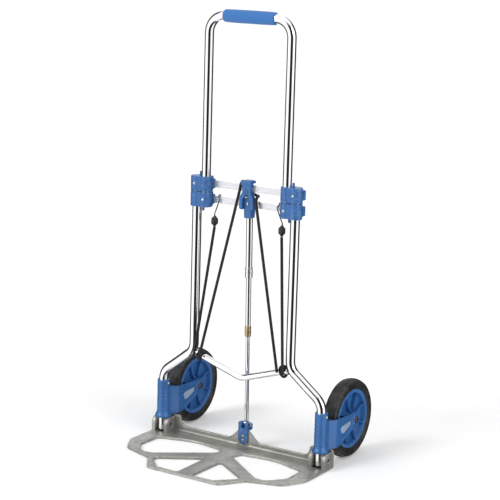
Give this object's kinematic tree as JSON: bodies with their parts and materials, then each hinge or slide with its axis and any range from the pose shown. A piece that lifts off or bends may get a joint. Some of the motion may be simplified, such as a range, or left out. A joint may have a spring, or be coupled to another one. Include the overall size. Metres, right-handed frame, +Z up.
{
  "type": "folding platform cart",
  "caption": "Folding platform cart with a telescopic handle, hinged toe plate, swivelling wheel brackets and elastic straps.",
  "frame": {"origin": "on the floor plane at the toe plate's underside, midway between the two foot tubes, in the plane of the tubes", "axes": "+Z up, -Y to the front where the toe plate points, +X to the cart's right as seen in the view from the front"},
  "size_m": [0.4688, 0.422, 0.968],
  "materials": {
    "chrome_tube": "bright chrome plate",
    "polished_bar": "polished",
    "casting": "satin cast, grey lacquer",
    "blue_plastic": "moulded, satin",
    "grip_foam": "matt",
    "tyre_rubber": "matt",
    "zinc_steel": "zinc plated",
    "brass": "dull",
    "elastic_cord": "braided sleeve",
    "black_plastic": "satin"
  },
  "bodies": {
    "frame": {"cross_tube": "chrome_tube", "upper_crossbar": "polished_bar", "latch_saddle": "blue_plastic", "latch_pin": "zinc_steel", "latch_spring": "zinc_steel", "bungee_middle": "elastic_cord", "lower_tube_left": "chrome_tube", "foot_bush_left": "black_plastic", "upper_clamp_left": "blue_plastic", "upper_clamp_screw_left": "zinc_steel", "bungee_loop_left": "elastic_cord", "bungee_left": "elastic_cord", "lower_tube_right": "chrome_tube", "foot_bush_right": "black_plastic", "upper_clamp_right": "blue_plastic", "upper_clamp_screw_right": "zinc_steel", "bungee_loop_right": "elastic_cord", "bungee_right": "elastic_cord"},
    "handle": {"handle_tube": "chrome_tube", "grip": "grip_foam", "lower_crossbar": "polished_bar", "rod_top_block": "blue_plastic", "rod_block_screw": "zinc_steel", "lower_clamp_left": "blue_plastic", "lower_clamp_screw_left": "zinc_steel", "hook_wire_left": "black_plastic", "hook_body_left": "black_plastic", "lower_clamp_right": "blue_plastic", "lower_clamp_screw_right": "zinc_steel", "hook_wire_right": "black_plastic", "hook_body_right": "black_plastic"},
    "latch": {"latch_knob": "blue_plastic"},
    "toe_plate": {"toe_plate": "casting", "rod_bracket": "blue_plastic", "rod_pin": "zinc_steel", "bracket_rivet_upper": "brass", "bracket_rivet_lower": "brass", "hinge_pin_left": "zinc_steel", "hinge_pin_right": "zinc_steel"},
    "rod_lower": {"rod_lower": "chrome_tube"},
    "rod_mid": {"rod_mid": "chrome_tube", "rod_ferrule_lower": "brass"},
    "rod_upper": {"rod_upper": "chrome_tube", "rod_ferrule_upper": "zinc_steel"},
    "wheel_bracket_left": {"wheel_bracket_left": "blue_plastic", "axle_left": "zinc_steel", "axle_nut_left": "zinc_steel", "sleeve_screw_left": "zinc_steel"},
    "wheel_left": {"tyre_left": "tyre_rubber", "rim_left": "blue_plastic", "hub_bush_left": "black_plastic"},
    "wheel_bracket_right": {"wheel_bracket_right": "blue_plastic", "axle_right": "zinc_steel", "axle_nut_right": "zinc_steel", "sleeve_screw_right": "zinc_steel"},
    "wheel_right": {"tyre_right": "tyre_rubber", "rim_right": "blue_plastic", "hub_bush_right": "black_plastic"}
  },
  "joints": [
    {"name": "handle_slide", "type": "slide", "parent": "frame", "child": "handle", "axis": [0, 0, 1], "range_m": [-0.29, 0], "deforming": ["bungee_left", "bungee_right"]},
    {"name": "latch_tilt", "type": "hinge", "parent": "frame", "child": "latch", "pos_m": [0, 0.0085, 0.5877], "axis": [-1, 0, 0], "range_deg": [0, 8], "stiffness_Nm_per_rad": 0.6},
    {"name": "toe_plate_fold", "type": "hinge", "parent": "frame", "child": "toe_plate", "pos_m": [0, 0, 0.0235], "axis": [-1, 0, 0], "range_deg": [0, 90.01]},
    {"name": "rod_swing", "type": "hinge", "parent": "toe_plate", "child": "rod_lower", "pos_m": [0, 0.029, 0.0535], "axis": [1, 0, 0], "range_deg": [0, 91.35]},
    {"name": "rod_mid_slide", "type": "slide", "parent": "rod_lower", "child": "rod_mid", "axis": [0, -0.0226, 0.9997], "range_m": [-0.1268, 0]},
    {"name": "rod_upper_slide", "type": "slide", "parent": "rod_mid", "child": "rod_upper", "axis": [0, -0.0226, 0.9997], "range_m": [-0.1041, 0]},
    {"name": "wheel_fold_left", "type": "hinge", "parent": "frame", "child": "wheel_bracket_left", "pos_m": [-0.208, 0, 0.0385], "axis": [0, 0, 1], "range_deg": [-80.01, 0]},
    {"name": "wheel_spin_left", "type": "hinge", "parent": "wheel_bracket_left", "child": "wheel_left", "pos_m": [-0.208, 0.114, 0.0875], "axis": [1, 0, 0], "continuous": true},
    {"name": "wheel_fold_right", "type": "hinge", "parent": "frame", "child": "wheel_bracket_right", "pos_m": [0.208, 0, 0.0385], "axis": [0, 0, 1], "range_deg": [0, 80.01]},
    {"name": "wheel_spin_right", "type": "hinge", "parent": "wheel_bracket_right", "child": "wheel_right", "pos_m": [0.208, 0.114, 0.0875], "axis": [1, 0, 0], "continuous": true}
  ],
  "couplings": [
    {"joint": "toe_plate_fold", "follows": "handle_slide", "rad_per_m": -5.4165},
    {"joint": "rod_swing", "follows": "handle_slide", "rad_per_m": -5.4966},
    {"joint": "rod_mid_slide", "follows": "handle_slide", "ratio": 0.4371},
    {"joint": "rod_upper_slide", "follows": "handle_slide", "ratio": 0.3587},
    {"joint": "wheel_fold_left", "follows": "handle_slide", "rad_per_m": 4.8147},
    {"joint": "wheel_fold_right", "follows": "handle_slide", "rad_per_m": -4.8147}
  ]
}
